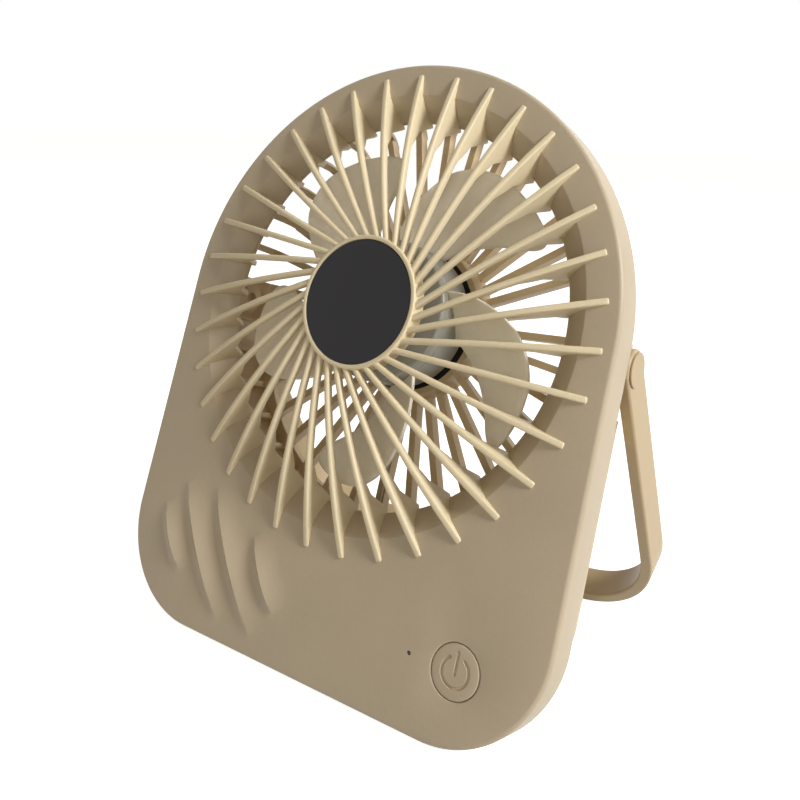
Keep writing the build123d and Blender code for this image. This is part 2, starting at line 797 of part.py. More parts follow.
# Control board, its screws, the status light and its light guide
with BuildPart() as control_board:
    block(level(board_rear), (board_u, board_v), board_width, board_height, board_thickness)
    discs(level(board_rear), board_places, board_screw_radius + fit_gap, board_thickness, Mode.SUBTRACT)
save(control_board.part, "control_board")
with BuildPart() as board_screws:
    discs(level(board_rear), board_places, board_screw_head_radius, -board_screw_head)
    discs(level(board_rear), board_places, board_screw_radius, board_screw_bite)
save(board_screws.part, "board_screws")
with BuildPart() as status_led:
    block(level(board_front), (led_u, led_v), led_size, led_size, led_height)
save(status_led.part, "status_led")
guide_rear = board_front + led_height + moving_gap
with BuildPart() as led_lens:
    discs(level(guide_rear), [(led_u, led_v)], led_hole_radius - press_gap, -guide_rear - fit_gap)
    discs(level(-wall), [(led_u, led_v)], led_flange_radius, -led_flange_thickness)
save(led_lens.part, "led_lens")

# Case screws, from the rear into the bosses of the front casing
with BuildPart() as case_screws:
    discs(level(screw_shoulder), screw_places, screw_head_radius, -screw_head)
    discs(level(screw_shoulder), screw_places, screw_radius, flange_top + screw_bite - screw_shoulder)
save(case_screws.part, "case_screws")

# Charge board in its rails, with the socket that opens through the rear wall
with BuildPart() as charge_board:
    block(level(floor_level), (charge_u, charge_v), charge_board_width, board_thickness, charge_board_depth)
save(charge_board.part, "charge_board")
socket_rear = -body_depth + socket_sink
with BuildPart() as usb_socket:
    with BuildSketch(level(socket_rear)):
        with Locations((charge_u, socket_v)):
            RectangleRounded(socket_width, socket_height, socket_corner)
    extrude(amount=socket_depth)
    with BuildSketch(level(socket_rear)):
        with Locations((charge_u, socket_v)):
            RectangleRounded(
                socket_width - 2 * socket_wall, socket_height - 2 * socket_wall, socket_corner - socket_wall
            )
            Rectangle(socket_width - socket_height, 2 * socket_wall, mode=Mode.SUBTRACT)
    extrude(amount=socket_depth - socket_height / 2, mode=Mode.SUBTRACT)
save(usb_socket.part, "usb_socket")

# Battery cell lying across the foot of the casing, with a tab on each end
with BuildPart() as battery_cell:
    disc(side_plane(cell_left_u, cell_v, cell_w, 1), cell_radius, cell_length)
    fillet(battery_cell.edges(), cell_edge_radius)
    disc(side_plane(cell_right_u, cell_v, cell_w, 1), cell_cap_radius, cell_cap_height)
save(battery_cell.part, "battery_cell")
plus_u = cell_right_u + cell_cap_height
with BuildPart() as battery_tabs:
    block(side_plane(plus_u, cell_v, cell_w, 1), (0, 0), tab_height, tab_width, tab_thickness)
    block(side_plane(cell_left_u, cell_v, cell_w, -1), (0, 0), tab_height, tab_width, tab_thickness)
save(battery_tabs.part, "battery_tabs")


def wire(places, radius):
    """A round wire along a path with rounded corners."""
    with BuildLine() as path:
        FilletPolyline(*[point(*place) for place in places], radius=lead_bend_radius)
    start = Plane(origin=path.line @ 0, z_dir=path.line % 0)
    with BuildSketch(start) as section:
        Circle(radius)
    sweep(section.sketch, path=path.line)


# Wires: cell to control board, charge board to control board, motor to control board
tab_v = cell_v + tab_height / 2 - lead_inset
wire_w = cell_w + lead_radius
over_cell_v = cell_v + cell_radius + lead_cell_gap
plus_end_u = board_u - board_width / 2 + board_inset
minus_end_u = plus_end_u + lead_spacing
minus_end_v = board_v + board_height / 2 - lead_inset
left_turn_u = cell_left_u - tab_thickness - lead_turn_gap
with BuildPart() as battery_leads:
    wire(
        (
            (plus_u + tab_thickness, tab_v, wire_w),
            (plus_end_u, tab_v, wire_w),
            (plus_end_u, tab_v, board_rear),
        ),
        lead_radius,
    )
    wire(
        (
            (cell_left_u - tab_thickness, tab_v, wire_w),
            (left_turn_u, tab_v, wire_w),
            (left_turn_u, over_cell_v, wire_w),
            (minus_end_u, over_cell_v, wire_w),
            (minus_end_u, minus_end_v, wire_w),
            (minus_end_u, minus_end_v, board_rear),
        ),
        lead_radius,
    )
save(battery_leads.part, "battery_leads")
motor_lead_w = rear_rib_front + motor_lead_radius + running_gap
motor_end_u = board_u - board_inset
motor_run_v = -(chamber_radius + wall + motor_lead_gap)
with BuildPart() as motor_lead:
    wire(
        (
            (0, -(cup_bore + tube_radius) / 2, motor_lead_w),
            (0, motor_run_v, motor_lead_w),
            (motor_end_u, motor_run_v, motor_lead_w),
            (motor_end_u, minus_end_v, motor_lead_w),
            (motor_end_u, minus_end_v, board_rear),
        ),
        motor_lead_radius,
    )
save(motor_lead.part, "motor_lead")
charge_lead_u = charge_u - board_inset
charge_front = floor_level + charge_board_depth
charge_turn_w = (charge_front + board_rear) / 2
charge_end_u = plus_end_u + lead_inset
with BuildPart() as charge_lead:
    wire(
        (
            (charge_lead_u, charge_v, charge_front),
            (charge_lead_u, charge_v, charge_turn_w),
            (charge_end_u, charge_v, charge_turn_w),
            (charge_end_u, charge_v, board_rear),
        ),
        lead_radius,
    )
save(charge_lead.part, "charge_lead")
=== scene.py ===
"""Looks of the rechargeable desk fan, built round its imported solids.

Shapes are drawn in millimetres in the frame of the front face, as in the part's source: u to the right,
v up the face and w out of it, counted from the fan's axis.
"""

import json
from math import atan2, cos, pi, radians, sin, sqrt

import bmesh
import bpy
import numpy as np
from mathutils import Matrix, Vector
from mathutils.geometry import delaunay_2d_cdt


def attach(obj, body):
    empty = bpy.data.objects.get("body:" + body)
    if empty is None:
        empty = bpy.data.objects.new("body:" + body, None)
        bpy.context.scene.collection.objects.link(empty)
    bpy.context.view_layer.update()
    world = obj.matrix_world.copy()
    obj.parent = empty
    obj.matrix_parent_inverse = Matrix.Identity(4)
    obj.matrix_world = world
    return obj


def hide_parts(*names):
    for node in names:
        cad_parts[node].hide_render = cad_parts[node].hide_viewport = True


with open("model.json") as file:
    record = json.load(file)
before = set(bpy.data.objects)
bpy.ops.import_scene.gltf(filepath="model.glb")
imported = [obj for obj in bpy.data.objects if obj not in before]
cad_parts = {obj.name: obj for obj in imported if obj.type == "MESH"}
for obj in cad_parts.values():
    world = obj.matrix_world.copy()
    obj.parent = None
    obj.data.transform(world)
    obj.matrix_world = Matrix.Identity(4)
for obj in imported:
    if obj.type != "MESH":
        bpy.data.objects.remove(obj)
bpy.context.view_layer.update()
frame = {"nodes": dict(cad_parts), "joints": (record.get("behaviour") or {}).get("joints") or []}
nodes = frame["nodes"]
joints = {joint["name"]: joint for joint in frame["joints"]}

MM = 0.001
AXIS_POINT = Vector(joints["rotor_spin"]["pos_m"])
W_DIR = Vector(joints["rotor_spin"]["axis"]).normalized()
U_DIR = Vector((1, 0, 0))
V_DIR = W_DIR.cross(U_DIR)
TO_ROW = np.array([U_DIR, V_DIR, W_DIR])

# Sizes of the casing, as in the part's source
HALF_WIDTH = 75.0
BODY_BOTTOM = -107.0
FRONT_DEPTH = 11.0
CORNER = 31.5
WALL = 2.0
FRONT_EDGE = 1.2
FOOT_EDGE = 0.8
LIP = 65.3
LIP_REACH = 7.1
LIP_DROP = 6.1
LIP_BULGE = 0.5
HUB = 19.5
HUB_TOP = 8.9
HUB_REAR = 3.6
BUTTON = (50.2, -87.3)
BUTTON_HOLE = 7.1
LIGHT = (36.1, -87.4)
LIGHT_HOLE = 0.6

# Fineness of the meshes
LIP_COUNT = 288
HUB_COUNT = 128
BUTTON_COUNT = 72
LIGHT_COUNT = 24
WELD = 0.002
SLIVER = 0.0005
SHARP_ANGLE = 34.0


def to_row(points):
    """Face-frame millimetres to row-frame metres."""
    return np.asarray(points, float) @ TO_ROW * MM + np.array(AXIS_POINT)


def lift(flat, height):
    """Flat (u, v) points at one height."""
    flat = np.asarray(flat, float)
    return np.c_[flat, np.full(len(flat), height)]


def circle(radius, count, centre=(0.0, 0.0)):
    """Points round a circle."""
    angle = 2 * pi * np.arange(count) / count
    return np.c_[centre[0] + radius * np.cos(angle), centre[1] + radius * np.sin(angle)]


def arc(centre, radius, start, end, count):
    """Points of an arc in a profile plane, both ends included, angles in degrees."""
    angle = np.radians(np.linspace(start, end, count))
    return [(centre[0] + radius * cos(a), centre[1] + radius * sin(a)) for a in angle]


def rounded_box(low, high, rounding, count):
    """Rounded rectangle between two corners, anticlockwise from its lower right, count points a corner."""
    ring = []
    for across, up, start in (
        (high[0] - rounding, low[1] + rounding, -90),
        (high[0] - rounding, high[1] - rounding, 0),
        (low[0] + rounding, high[1] - rounding, 90),
        (low[0] + rounding, low[1] + rounding, 180),
    ):
        ring += arc((across, up), rounding, start, start + 90, count)
    return np.array(ring)


def directions(line):
    """Unit directions along a line of points."""
    run = np.gradient(line, axis=0)
    return run / np.linalg.norm(run, axis=1)[:, None]


def capped(rows):
    """Rings of a bar with both ends closed to a point."""
    ends = [np.repeat(row.mean(axis=0)[None], len(row), axis=0) for row in (rows[0], rows[-1])]
    return [ends[0], *rows, ends[1]]


def inside(points, loop):
    """Which flat points lie inside a closed loop."""
    points, loop = np.asarray(points), np.asarray(loop)
    after = np.roll(loop, -1, axis=0)
    u, v = points[:, :1], points[:, 1:2]
    crosses = (loop[:, 1] > v) != (after[:, 1] > v)
    rise = np.where(after[:, 1] == loop[:, 1], 1.0, after[:, 1] - loop[:, 1])
    reach = loop[:, 0] + (v - loop[:, 1]) * (after[:, 0] - loop[:, 0]) / rise
    return (crosses & (u < reach)).sum(axis=1) % 2 == 1


class Skin:
    """Collects strips and plates of a piece, then welds them to one mesh."""

    def __init__(self):
        self.points = []
        self.faces = []

    def grid(self, rows):
        """Quads between rows of points, each row a ring."""
        first = len(self.points)
        count = len(rows[0])
        for row in rows:
            self.points.extend(np.asarray(row, float).tolist())
        for i in range(len(rows) - 1):
            a, b = first + i * count, first + (i + 1) * count
            for j in range(count):
                k = (j + 1) % count
                self.faces.append((a + j, a + k, b + k, b + j))

    def lathe(self, profile, count, centre=(0.0, 0.0)):
        """A profile of (radius, w) turned round an axis along w."""
        self.grid([lift(circle(radius, count, centre), w) for radius, w in profile])

    def plate(self, outer, holes, height, extra=(), extra_edges=()):
        """Triangles inside the outer loop and outside the holes, lifted by a height function."""
        coords, edges = [], []
        for loop in (outer, *holes):
            first = len(coords)
            coords.extend(Vector(p) for p in np.asarray(loop, float))
            edges.extend((first + i, first + (i + 1) % len(loop)) for i in range(len(loop)))
        first = len(coords)
        coords.extend(Vector(p) for p in extra)
        edges.extend((first + a, first + b) for a, b in extra_edges)
        flat, _, faces, *_ = delaunay_2d_cdt(coords, edges, [], 0, 1e-7)
        flat = np.array([tuple(p) for p in flat])
        faces = np.array([f for f in faces if len(f) == 3])
        middle = flat[faces].mean(axis=1)
        keep = inside(middle, outer)
        for hole in holes:
            keep &= ~inside(middle, hole)
        first = len(self.points)
        self.points.extend(np.c_[flat, height(flat)].tolist())
        self.faces.extend(tuple(int(i) + first for i in f) for f in faces[keep])

    def piece(self, name, material):
        """The welded mesh as an object in the row frame."""
        mesh = bpy.data.meshes.new(name)
        mesh.from_pydata(to_row(self.points).tolist(), [], self.faces)
        work = bmesh.new()
        work.from_mesh(mesh)
        bmesh.ops.remove_doubles(work, verts=work.verts, dist=WELD * MM)
        bmesh.ops.dissolve_degenerate(work, dist=SLIVER * MM, edges=work.edges)
        loose = [v for v in work.verts if not v.link_faces]
        bmesh.ops.delete(work, geom=loose, context="VERTS")
        bmesh.ops.recalc_face_normals(work, faces=work.faces)
        work.to_mesh(mesh)
        work.free()
        mesh.polygons.foreach_set("use_smooth", [True] * len(mesh.polygons))
        mesh.set_sharp_from_angle(angle=radians(SHARP_ANGLE))
        mesh.materials.append(material)
        made = bpy.data.objects.new(name, mesh)
        bpy.context.scene.collection.objects.link(made)
        return made


def level(height):
    """A height function for a flat plate."""
    return lambda flat: np.full(len(flat), height)


# Materials

NOISE_RANGE = (0.3, 0.7)
MOTTLE_SCALE = 38.0
SPECK_SCALE = 900.0
SPECK = 0.025
GRAIN_SCALE = 2600.0
GRAIN_HEIGHT = 0.0002
STREAK_STRETCH = (60.0, 60.0, 900.0)
STREAK_SCALE = 6.0
STREAK_SHADES = (0.9, 1.06)
METAL_ROUGH = (0.28, 0.42)


def srgb(red, green, blue):
    """An sRGB colour of 0 to 255 as linear RGBA."""
    parts = [c / 255 for c in (red, green, blue)]
    return (*[c / 12.92 if c <= 0.04045 else ((c + 0.055) / 1.055) ** 2.4 for c in parts], 1.0)


def node(tree, kind, **inputs):
    """A node with its sockets set by name; spaces in socket names are written as underscores."""
    made = tree.nodes.new(kind)
    for name, value in inputs.items():
        made.inputs[name.replace("_", " ")].default_value = value
    return made


def noise(tree, place, scale, detail, roughness=0.5):
    """A noise texture fed by a coordinate socket."""
    made = node(tree, "ShaderNodeTexNoise", Scale=scale, Detail=detail, Roughness=roughness)
    tree.links.new(place, made.inputs["Vector"])
    return made.outputs["Fac"]


def span(tree, value, low, high, start=0.0, end=1.0):
    """A value mapped from one range to another."""
    made = node(tree, "ShaderNodeMapRange", From_Min=start, From_Max=end, To_Min=low, To_Max=high)
    tree.links.new(value, made.inputs["Value"])
    return made.outputs["Result"]


def shade(tree, colour, factor):
    """A colour, or a colour socket, made lighter and darker by a factor socket round one."""
    made = node(tree, "ShaderNodeHueSaturation")
    if isinstance(colour, tuple):
        made.inputs["Color"].default_value = colour
    else:
        tree.links.new(colour, made.inputs["Color"])
    tree.links.new(factor, made.inputs["Value"])
    return made.outputs["Color"]


def new_material(name):
    """A material with its node tree, its shader and its object coordinates."""
    material = bpy.data.materials.new(name)
    material.use_nodes = True
    tree = material.node_tree
    place = tree.nodes.new("ShaderNodeTexCoord").outputs["Object"]
    return material, tree, tree.nodes["Principled BSDF"], place


def moulded(name, colour, rough=(0.4, 0.52), grain=0.06, mottle=0.04, specular=0.45):
    """Moulded plastic: faint mottling, fine spark-eroded grain and uneven gloss."""
    material, tree, surface, place = new_material(name)
    broad = noise(tree, place, MOTTLE_SCALE, 3.0)
    fine = noise(tree, place, GRAIN_SCALE, 2.0, 0.6)
    speck = noise(tree, place, SPECK_SCALE, 4.0, 0.65)
    tint = shade(tree, colour, span(tree, broad, 1 - mottle, 1 + mottle, *NOISE_RANGE))
    tint = shade(tree, tint, span(tree, speck, 1 - SPECK, 1 + SPECK, *NOISE_RANGE))
    tree.links.new(tint, surface.inputs["Base Color"])
    tree.links.new(span(tree, broad, *rough, *NOISE_RANGE), surface.inputs["Roughness"])
    bump = node(tree, "ShaderNodeBump", Strength=grain, Distance=GRAIN_HEIGHT)
    tree.links.new(fine, bump.inputs["Height"])
    tree.links.new(bump.outputs["Normal"], surface.inputs["Normal"])
    surface.inputs["Specular IOR Level"].default_value = specular
    return material


def metal(name, colour):
    """Drawn or turned metal with fine streaks."""
    material, tree, surface, place = new_material(name)
    surface.inputs["Metallic"].default_value = 1.0
    run = node(tree, "ShaderNodeMapping", Scale=STREAK_STRETCH)
    tree.links.new(place, run.inputs["Vector"])
    streak = noise(tree, run.outputs["Vector"], STREAK_SCALE, 4.0, 0.6)
    tint = shade(tree, colour, span(tree, streak, *STREAK_SHADES, *NOISE_RANGE))
    tree.links.new(tint, surface.inputs["Base Color"])
    tree.links.new(span(tree, streak, *METAL_ROUGH, *NOISE_RANGE), surface.inputs["Roughness"])
    return material


CASING = moulded("casing_beige", srgb(182, 167, 141))
# Painted light: the grille and hub ring use the casing's plastic made lighter, to stand in for the light on the
# rib tops.
GRILLE_PAINTED_LIGHT = moulded("grille_casing_painted_light", srgb(220, 205, 170))
# Painted light: the rear casing and the chamber ladder use the casing's plastic made lighter and warmer, to
# stand in for warm bounce light inside the air chamber.
REAR_PAINTED_BOUNCE = moulded("rear_beige_painted_bounce", srgb(200, 177, 137))
# Painted shade: the stand and pivot pins use the casing's plastic made darker and browner, to stand in for the
# shade they sit in.
STAND_PAINTED_SHADE = moulded("stand_beige_painted_shade", srgb(177, 156, 120))
# Painted light: the blades are made near white, to stand in for the light the grille's ribs keep off them.
BLADE_PAINTED_LIGHT = moulded("blade_beige_painted_light", srgb(243, 236, 216), rough=(0.42, 0.55))
HUB_GREY = moulded("rotor_hub_grey", srgb(150, 149, 137), rough=(0.3, 0.4), grain=0.03)
BADGE = moulded("badge_black", srgb(30, 28, 31), rough=(0.42, 0.52), grain=0.05, mottle=0.08, specular=0.3)
RUBBER = moulded("washer_rubber", srgb(52, 50, 48), rough=(0.7, 0.85), grain=0.2)
BLACK = moulded("switch_black", srgb(34, 34, 36), rough=(0.5, 0.65))
BOARD = moulded("board_green", srgb(38, 92, 52), rough=(0.3, 0.45), mottle=0.12)
# Painted shade: the lens is made dark so that the pinhole shows as a shaded hole.
LENS_PAINTED_SHADE = moulded("lens_dark_painted_shade", srgb(58, 52, 46), rough=(0.12, 0.2), grain=0.01)
LED = moulded("led_yellow", srgb(226, 214, 150), rough=(0.2, 0.3), grain=0.02)
WRAP = moulded("cell_wrap_blue", srgb(48, 98, 150), rough=(0.25, 0.35), grain=0.03)
WIRE = moulded("wire_red", srgb(150, 40, 36), rough=(0.4, 0.55))
SLEEVE = moulded("wire_sleeve_beige", srgb(176, 160, 128), rough=(0.4, 0.55))
STEEL = metal("steel", srgb(196, 196, 192))
MAGNET = moulded("ferrite", srgb(66, 64, 64), rough=(0.5, 0.7), grain=0.3, mottle=0.15)
COPPER = metal("copper_enamel", srgb(196, 112, 62))

for names, material in (
    (("front_casing", "power_button"), CASING),
    (("rear_casing",), REAR_PAINTED_BOUNCE),
    (("stand", "left_pivot_pin", "right_pivot_pin"), STAND_PAINTED_SHADE),
    (("fan_impeller",), BLADE_PAINTED_LIGHT),
    (("hub_badge",), BADGE),
    (("left_friction_washer", "right_friction_washer"), RUBBER),
    (("rotor_yoke", "motor_shaft", "shaft_clip", "front_bearing", "rear_bearing", "stator_core"), STEEL),
    (("board_screws", "case_screws", "usb_socket", "battery_tabs"), STEEL),
    (("magnet_ring",), MAGNET),
    (("stator_windings",), COPPER),
    (("control_board", "charge_board"), BOARD),
    (("tact_switch", "switch_plunger", "motor_board"), BLACK),
    (("led_lens",), LENS_PAINTED_SHADE),
    (("status_led",), LED),
    (("battery_cell",), WRAP),
    (("battery_leads", "charge_lead"), WIRE),
    (("motor_lead",), SLEEVE),
):
    for name in names:
        mesh = nodes[name].data
        mesh.materials.clear()
        mesh.materials.append(material)


# Outline of the body

ARCH_STEP = 1.2
CORNER_STEP = 0.7
SIDE_STEP = 3.0


def body_outline():
    """Points and outward normals of the arch-topped outline, anticlockwise from the right end of the arch."""
    low = BODY_BOTTOM + CORNER
    side = HALF_WIDTH - CORNER
    points, normals = [], []

    def turn(centre, radius, start, end, step):
        count = int(abs(radians(end - start)) * radius / step)
        for a in np.radians(np.linspace(start, end, count, endpoint=False)):
            points.append((centre[0] + radius * cos(a), centre[1] + radius * sin(a)))
            normals.append((cos(a), sin(a)))

    def straight(start, end, normal):
        length = sqrt((end[0] - start[0]) ** 2 + (end[1] - start[1]) ** 2)
        for t in np.linspace(0, 1, int(length / SIDE_STEP), endpoint=False):
            points.append((start[0] + t * (end[0] - start[0]), start[1] + t * (end[1] - start[1])))
            normals.append(normal)

    turn((0, 0), HALF_WIDTH, 0, 180, ARCH_STEP)
    straight((-HALF_WIDTH, 0), (-HALF_WIDTH, low), (-1, 0))
    turn((-side, low), CORNER, 180, 270, CORNER_STEP)
    straight((-side, BODY_BOTTOM), (side, BODY_BOTTOM), (0, -1))
    turn((side, low), CORNER, 270, 360, CORNER_STEP)
    straight((HALF_WIDTH, low), (HALF_WIDTH, 0), (1, 0))
    return np.array(points), np.array(normals)


EDGE, EDGE_OUT = body_outline()


def drawn_in(inset, height):
    """The outline drawn in from the edge, at a height."""
    return lift(EDGE - inset * EDGE_OUT, height)


# Wave relief: four crests, each through its top, middle and foot, steep on the left and long on the right

WAVE_HEIGHT = 1.8
WAVE_LEFT = 4.0
WAVE_RIGHT = 8.2
WAVE_FADE = 0.8
WAVE_FLANK = 1.8
WAVE_SAMPLES = 241
WAVE_STEPS = 46
WAVE_SHARES = (0.07, 0.16, 0.28, 0.42, 0.58, 0.76, 0.96)
WAVES = (
    ((-63.0, -73.0), (-56.4, -83.6), (-50.0, -92.0)),
    ((-56.0, -64.5), (-44.7, -82.5), (-31.0, -101.0)),
    ((-43.0, -64.0), (-30.9, -83.0), (-17.0, -101.5)),
    ((-24.0, -73.5), (-17.0, -84.2), (-10.4, -93.0)),
)


def wave_curve(wave, t):
    """Points of a crest through its three places, for t from 0 to 1."""
    a, b, c = (np.array(p) for p in wave)
    t = np.asarray(t, float)[..., None]
    return a * (1 - t) * (1 - 2 * t) + b * 4 * t * (1 - t) + c * t * (2 * t - 1)


def wave_relief(flat):
    """Height of the relief over flat points of the face."""
    height = np.zeros(len(flat))
    t = np.linspace(0, 1, WAVE_SAMPLES)
    for wave in WAVES:
        crest = wave_curve(wave, t)
        run = directions(crest)
        gap = flat[:, None, :] - crest[None]
        near = (gap**2).sum(axis=2).argmin(axis=1)
        offset = flat - crest[near]
        side = run[near, 0] * offset[:, 1] - run[near, 1] * offset[:, 0]
        away = np.sqrt((offset**2).sum(axis=1))
        width = np.where(side > 0, WAVE_RIGHT, WAVE_LEFT)
        fade = np.clip(1 - (2 * t[near] - 1) ** 2, 0, 1) ** WAVE_FADE
        flank = np.clip(1 - away / width, 0, 1) ** WAVE_FLANK
        height += WAVE_HEIGHT * fade * flank
    return height


def wave_points():
    """Points over the waves, in rows along each crest, and the edges that keep the crests sharp."""
    points, edges = [], []
    t = np.linspace(0.0, 1.0, WAVE_STEPS)
    for wave in WAVES:
        crest = wave_curve(wave, t)
        run = directions(crest)
        right = np.c_[-run[:, 1], run[:, 0]]
        first = len(points)
        points.extend(crest)
        edges.extend((first + i, first + i + 1) for i in range(len(t) - 1))
        for share in WAVE_SHARES:
            points.extend(crest + right * share * WAVE_RIGHT)
            points.extend(crest - right * share * WAVE_LEFT)
    return points, edges


# Front casing: arch-topped shell with the sunken lip and the wave relief

HOLE_FLARE = 0.45
LIP_CREASE = 0.9
LIP_EDGE = 0.4
LIP_FIRST_SHARE = 0.06
LIP_RUN_SHARE = 0.02
LIP_UNDER_REACH = 0.4


def lip_arc(depth, shares):
    """Points of the lip's bowed profile, as radius and height, at a depth under its surface."""
    slope = atan2(LIP_DROP, LIP_REACH)
    start = np.array([LIP + depth * sin(slope), -depth * cos(slope)])
    shares = np.asarray(shares, float)[:, None]
    bow = 4 * LIP_BULGE * shares * (1 - shares)
    return start - shares * np.array([LIP_REACH, LIP_DROP]) + bow * np.array([-sin(slope), cos(slope)])


def lip_profile():
    """The lip's whole section, from the edge of the face round its inner rim to the underside of the face."""
    first, second = lip_arc(0, (0.0, LIP_RUN_SHARE))
    turn = np.degrees(atan2(first[1] - second[1], first[0] - second[0]))
    reach = LIP_CREASE * np.tan(radians(turn / 2))
    profile = arc((LIP + reach, -LIP_CREASE), LIP_CREASE, 90, 90 + turn, 5)
    profile += list(lip_arc(0, np.linspace(LIP_FIRST_SHARE, 1 - LIP_EDGE / LIP_REACH, 15)))
    profile += list(lip_arc(LIP_EDGE, (1.0,)))
    under = lip_arc(WALL, np.linspace(1, 0, 12))
    under = under[under[:, 1] < -WALL]
    return [tuple(p) for p in (*profile, *under, (under[-1][0] + LIP_UNDER_REACH, -WALL))]


shell = Skin()
lip = lip_profile()
button_rim = circle(BUTTON_HOLE + HOLE_FLARE, BUTTON_COUNT, BUTTON)
button_hole = circle(BUTTON_HOLE, BUTTON_COUNT, BUTTON)
led_rim = circle(LIGHT_HOLE, LIGHT_COUNT, LIGHT)
top_ring, under_ring = (circle(lip[end][0], LIP_COUNT) for end in (0, -1))
shell.plate(EDGE - FRONT_EDGE * EDGE_OUT, [top_ring, button_rim, led_rim], wave_relief, *wave_points())
profile = arc((FRONT_EDGE, -FRONT_EDGE), FRONT_EDGE, 90, 180, 7)
profile += arc((FOOT_EDGE, -FRONT_DEPTH + FOOT_EDGE), FOOT_EDGE, 180, 270, 5)
profile += [(WALL, -FRONT_DEPTH), (WALL, -WALL)]
shell.grid([drawn_in(inset, height) for inset, height in profile])
shell.plate(EDGE - WALL * EDGE_OUT, [under_ring, button_hole, led_rim], level(-WALL))
shell.lathe(lip, LIP_COUNT)
flare = arc((BUTTON_HOLE + HOLE_FLARE, -HOLE_FLARE), HOLE_FLARE, 90, 180, 5)
shell.lathe([*flare, (BUTTON_HOLE, -WALL)], BUTTON_COUNT, BUTTON)
shell.lathe([(LIGHT_HOLE, 0), (LIGHT_HOLE, -WALL)], LIGHT_COUNT, LIGHT)
front_shell = shell.piece("front_shell", CASING)

# Swirl grille: straight ribs with gussets that run down the lip

RIB_COUNT = 35
RIB_WIDTH = 1.8
RIB_DEPTH = 2.4
RIB_OFFSET = 10.8
RIB_FIRST = -53.9
RIB_START = HUB - 1.0
RIB_TIP = 71.0
RIB_TOP = HUB_TOP - 0.45
RIB_TIP_RISE = 0.5
BARB_DEPTH = -7.5
BARB_TIP = 57.5
BARB_ROOT = BARB_TIP - 4.0
BARB_START = 48.0
# Rounding of the ribs, from the first radius to the second, and as a share of a thin rib
RIB_ROUND = (0.8, 0.5)
RIB_ROUND_RADII = (44.0, 64.0)
RIB_ROUND_SHARE = 2.5
# Rounded outer end: how far past the tip, and how much smaller
RIB_ENDS = ((0.2, 0.06), (0.34, 0.18), (0.4, 0.36))


def along_rib(radius):
    """Distance along a rib at which it reaches a radius."""
    return sqrt(radius * radius - RIB_OFFSET * RIB_OFFSET)


def rib_section():
    """Stations of one rib: distance along it, lower edge, upper edge, half its width and its rounding."""
    start, tip = along_rib(RIB_START), along_rib(RIB_TIP)
    drop = RIB_TOP - RIB_TIP_RISE
    bow = ((tip - start) ** 2 + drop**2) / (2 * drop)
    lip_middle = lip_arc(WALL / 2, np.linspace(1, 0, 13))
    under_radii = np.r_[BARB_ROOT, BARB_TIP, lip_middle[:, 0], RIB_TIP]
    under_heights = np.r_[0.0, BARB_DEPTH, lip_middle[:, 1], -WALL / 2]
    radii = np.r_[
        np.linspace(RIB_START, BARB_ROOT, 26),
        np.linspace(BARB_ROOT, BARB_TIP, 7)[1:],
        lip_middle[:, 0],
        np.linspace(lip_middle[-1, 0], RIB_TIP, 6)[1:],
    ]
    stations = []
    for radius in radii:
        s = along_rib(radius)
        upper = RIB_TOP - bow + sqrt(bow * bow - (s - start) ** 2)
        if radius <= BARB_ROOT:
            lead = np.clip((radius - BARB_START) / (BARB_ROOT - BARB_START), 0, 1)
            lower = (1 - lead) * (upper - RIB_DEPTH)
        else:
            lower = np.interp(radius, under_radii, under_heights)
        rounding = np.interp(radius, RIB_ROUND_RADII, RIB_ROUND)
        stations.append((s, lower, upper, RIB_WIDTH / 2, rounding))
    for reach, shrink in RIB_ENDS:
        stations.append((tip + reach, lower, upper - shrink, RIB_WIDTH / 2 - shrink, RIB_ROUND[1]))
    return stations


ribs = Skin()
stations = rib_section()
for k in range(RIB_COUNT):
    angle = radians(RIB_FIRST + k * 360 / RIB_COUNT)
    run = np.array([cos(angle), sin(angle)])
    out = np.array([sin(angle), -cos(angle)])
    rows = []
    for s, lower, upper, half, rounding in stations:
        rounding = min(rounding, (upper - lower) / RIB_ROUND_SHARE)
        ring = rounded_box((-half, lower), (half, upper), rounding, 5)
        flat = (RIB_OFFSET + ring[:, :1]) * out + s * run
        rows.append(np.c_[flat, ring[:, 1]])
    ribs.grid(capped(rows))
# The grille's material is lightened: painted light on the ribs.
front_grille = ribs.piece("front_grille", GRILLE_PAINTED_LIGHT)

# Hub ring: seat for the disc in front, hollow behind

HUB_EDGE = 0.5
HUB_REAR_EDGE = 0.4
SEAT = (18.2, 7.7)
SEAT_EDGE = 0.15
HUB_HOLLOW = (17.5, 4.9)
hub = Skin()
hub_profile = [(0, SEAT[1]), SEAT]
hub_profile += arc((SEAT[0] + SEAT_EDGE, HUB_TOP - SEAT_EDGE), SEAT_EDGE, 180, 90, 3)
hub_profile += arc((HUB - HUB_EDGE, HUB_TOP - HUB_EDGE), HUB_EDGE, 90, 0, 6)
hub_profile += arc((HUB - HUB_REAR_EDGE, HUB_REAR + HUB_REAR_EDGE), HUB_REAR_EDGE, 0, -90, 4)
hub_profile += [(HUB_HOLLOW[0], HUB_REAR), HUB_HOLLOW, (0, HUB_HOLLOW[1])]
hub.lathe(hub_profile, HUB_COUNT)
# The hub ring shares the grille's lightened material: painted light.
hub_ring = hub.piece("hub_ring", GRILLE_PAINTED_LIGHT)

for piece in (front_shell, front_grille, hub_ring):
    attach(piece, "casing")
    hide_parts("front_casing")

# Air chamber: ladder of low ribs and a rail on the chamber's wall, in line with the rear bars

CHAMBER_INNER = 65.4
CHAMBER_SUNK = 68.0
LADDER_REAR = -28.0
LADDER_FRONT = -13.0
LADDER_FIRST = 2.57
LADDER_HALF = 1.1
LADDER_EDGE = 0.4
# First and last bar of the ladder, and the one left out
LADDER_ENDS = (19, 33)
LADDER_GAP = 26
LADDER_RAIL_COUNT = 113


def ladder_angle(k):
    """Angle of a rear bar, in degrees."""
    return LADDER_FIRST + k * 360 / RIB_COUNT


